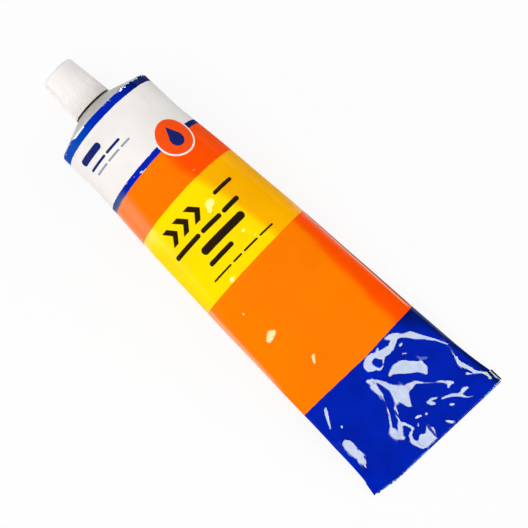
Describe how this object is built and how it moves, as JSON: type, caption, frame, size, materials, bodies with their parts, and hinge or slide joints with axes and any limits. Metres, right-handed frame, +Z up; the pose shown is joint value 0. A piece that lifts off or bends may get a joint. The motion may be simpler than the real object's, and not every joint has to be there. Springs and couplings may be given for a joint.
{
  "type": "grease tube",
  "caption": "Collapsible metal tube of hammer drill grease with a round shoulder, a rolled flat tail, bright printed bands and a ribbed screw cap on a threaded nozzle.",
  "frame": {"origin": "on the ground, under the centre of the tube's box as it lies", "axes": "+Y from the folded tail to the cap, +Z up through the printed front, +X across the tube"},
  "size_m": [0.069, 0.214, 0.0509],
  "materials": {
    "tube_enamel": "glossy printed enamel on thin aluminium, with bare metal at the shoulder and nozzle",
    "sealing_latex": "dried sealing latex",
    "grease": "wet amber grease",
    "liner_foam": "soft foam disc",
    "cap_plastic": "satin off-white moulded plastic"
  },
  "bodies": {
    "tube": {"tube_body": "tube_enamel", "tail_seal": "sealing_latex", "grease_fill": "grease"},
    "liner": {"cap_liner": "liner_foam"},
    "cap": {"screw_cap": "cap_plastic"}
  },
  "joints": [
    {"name": "cap_rise", "type": "slide", "parent": "tube", "child": "liner", "axis": [0, 0.9903, 0.1392], "range_m": [0, 0.01]},
    {"name": "cap_turn", "type": "hinge", "parent": "liner", "child": "cap", "pos_m": [0, 0.08636, 0.02868], "axis": [0, 0.9903, 0.1392], "range_deg": [0, 1440]}
  ],
  "couplings": [
    {"joint": "cap_rise", "follows": "cap_turn", "m_per_rad": 0.00039789}
  ]
}
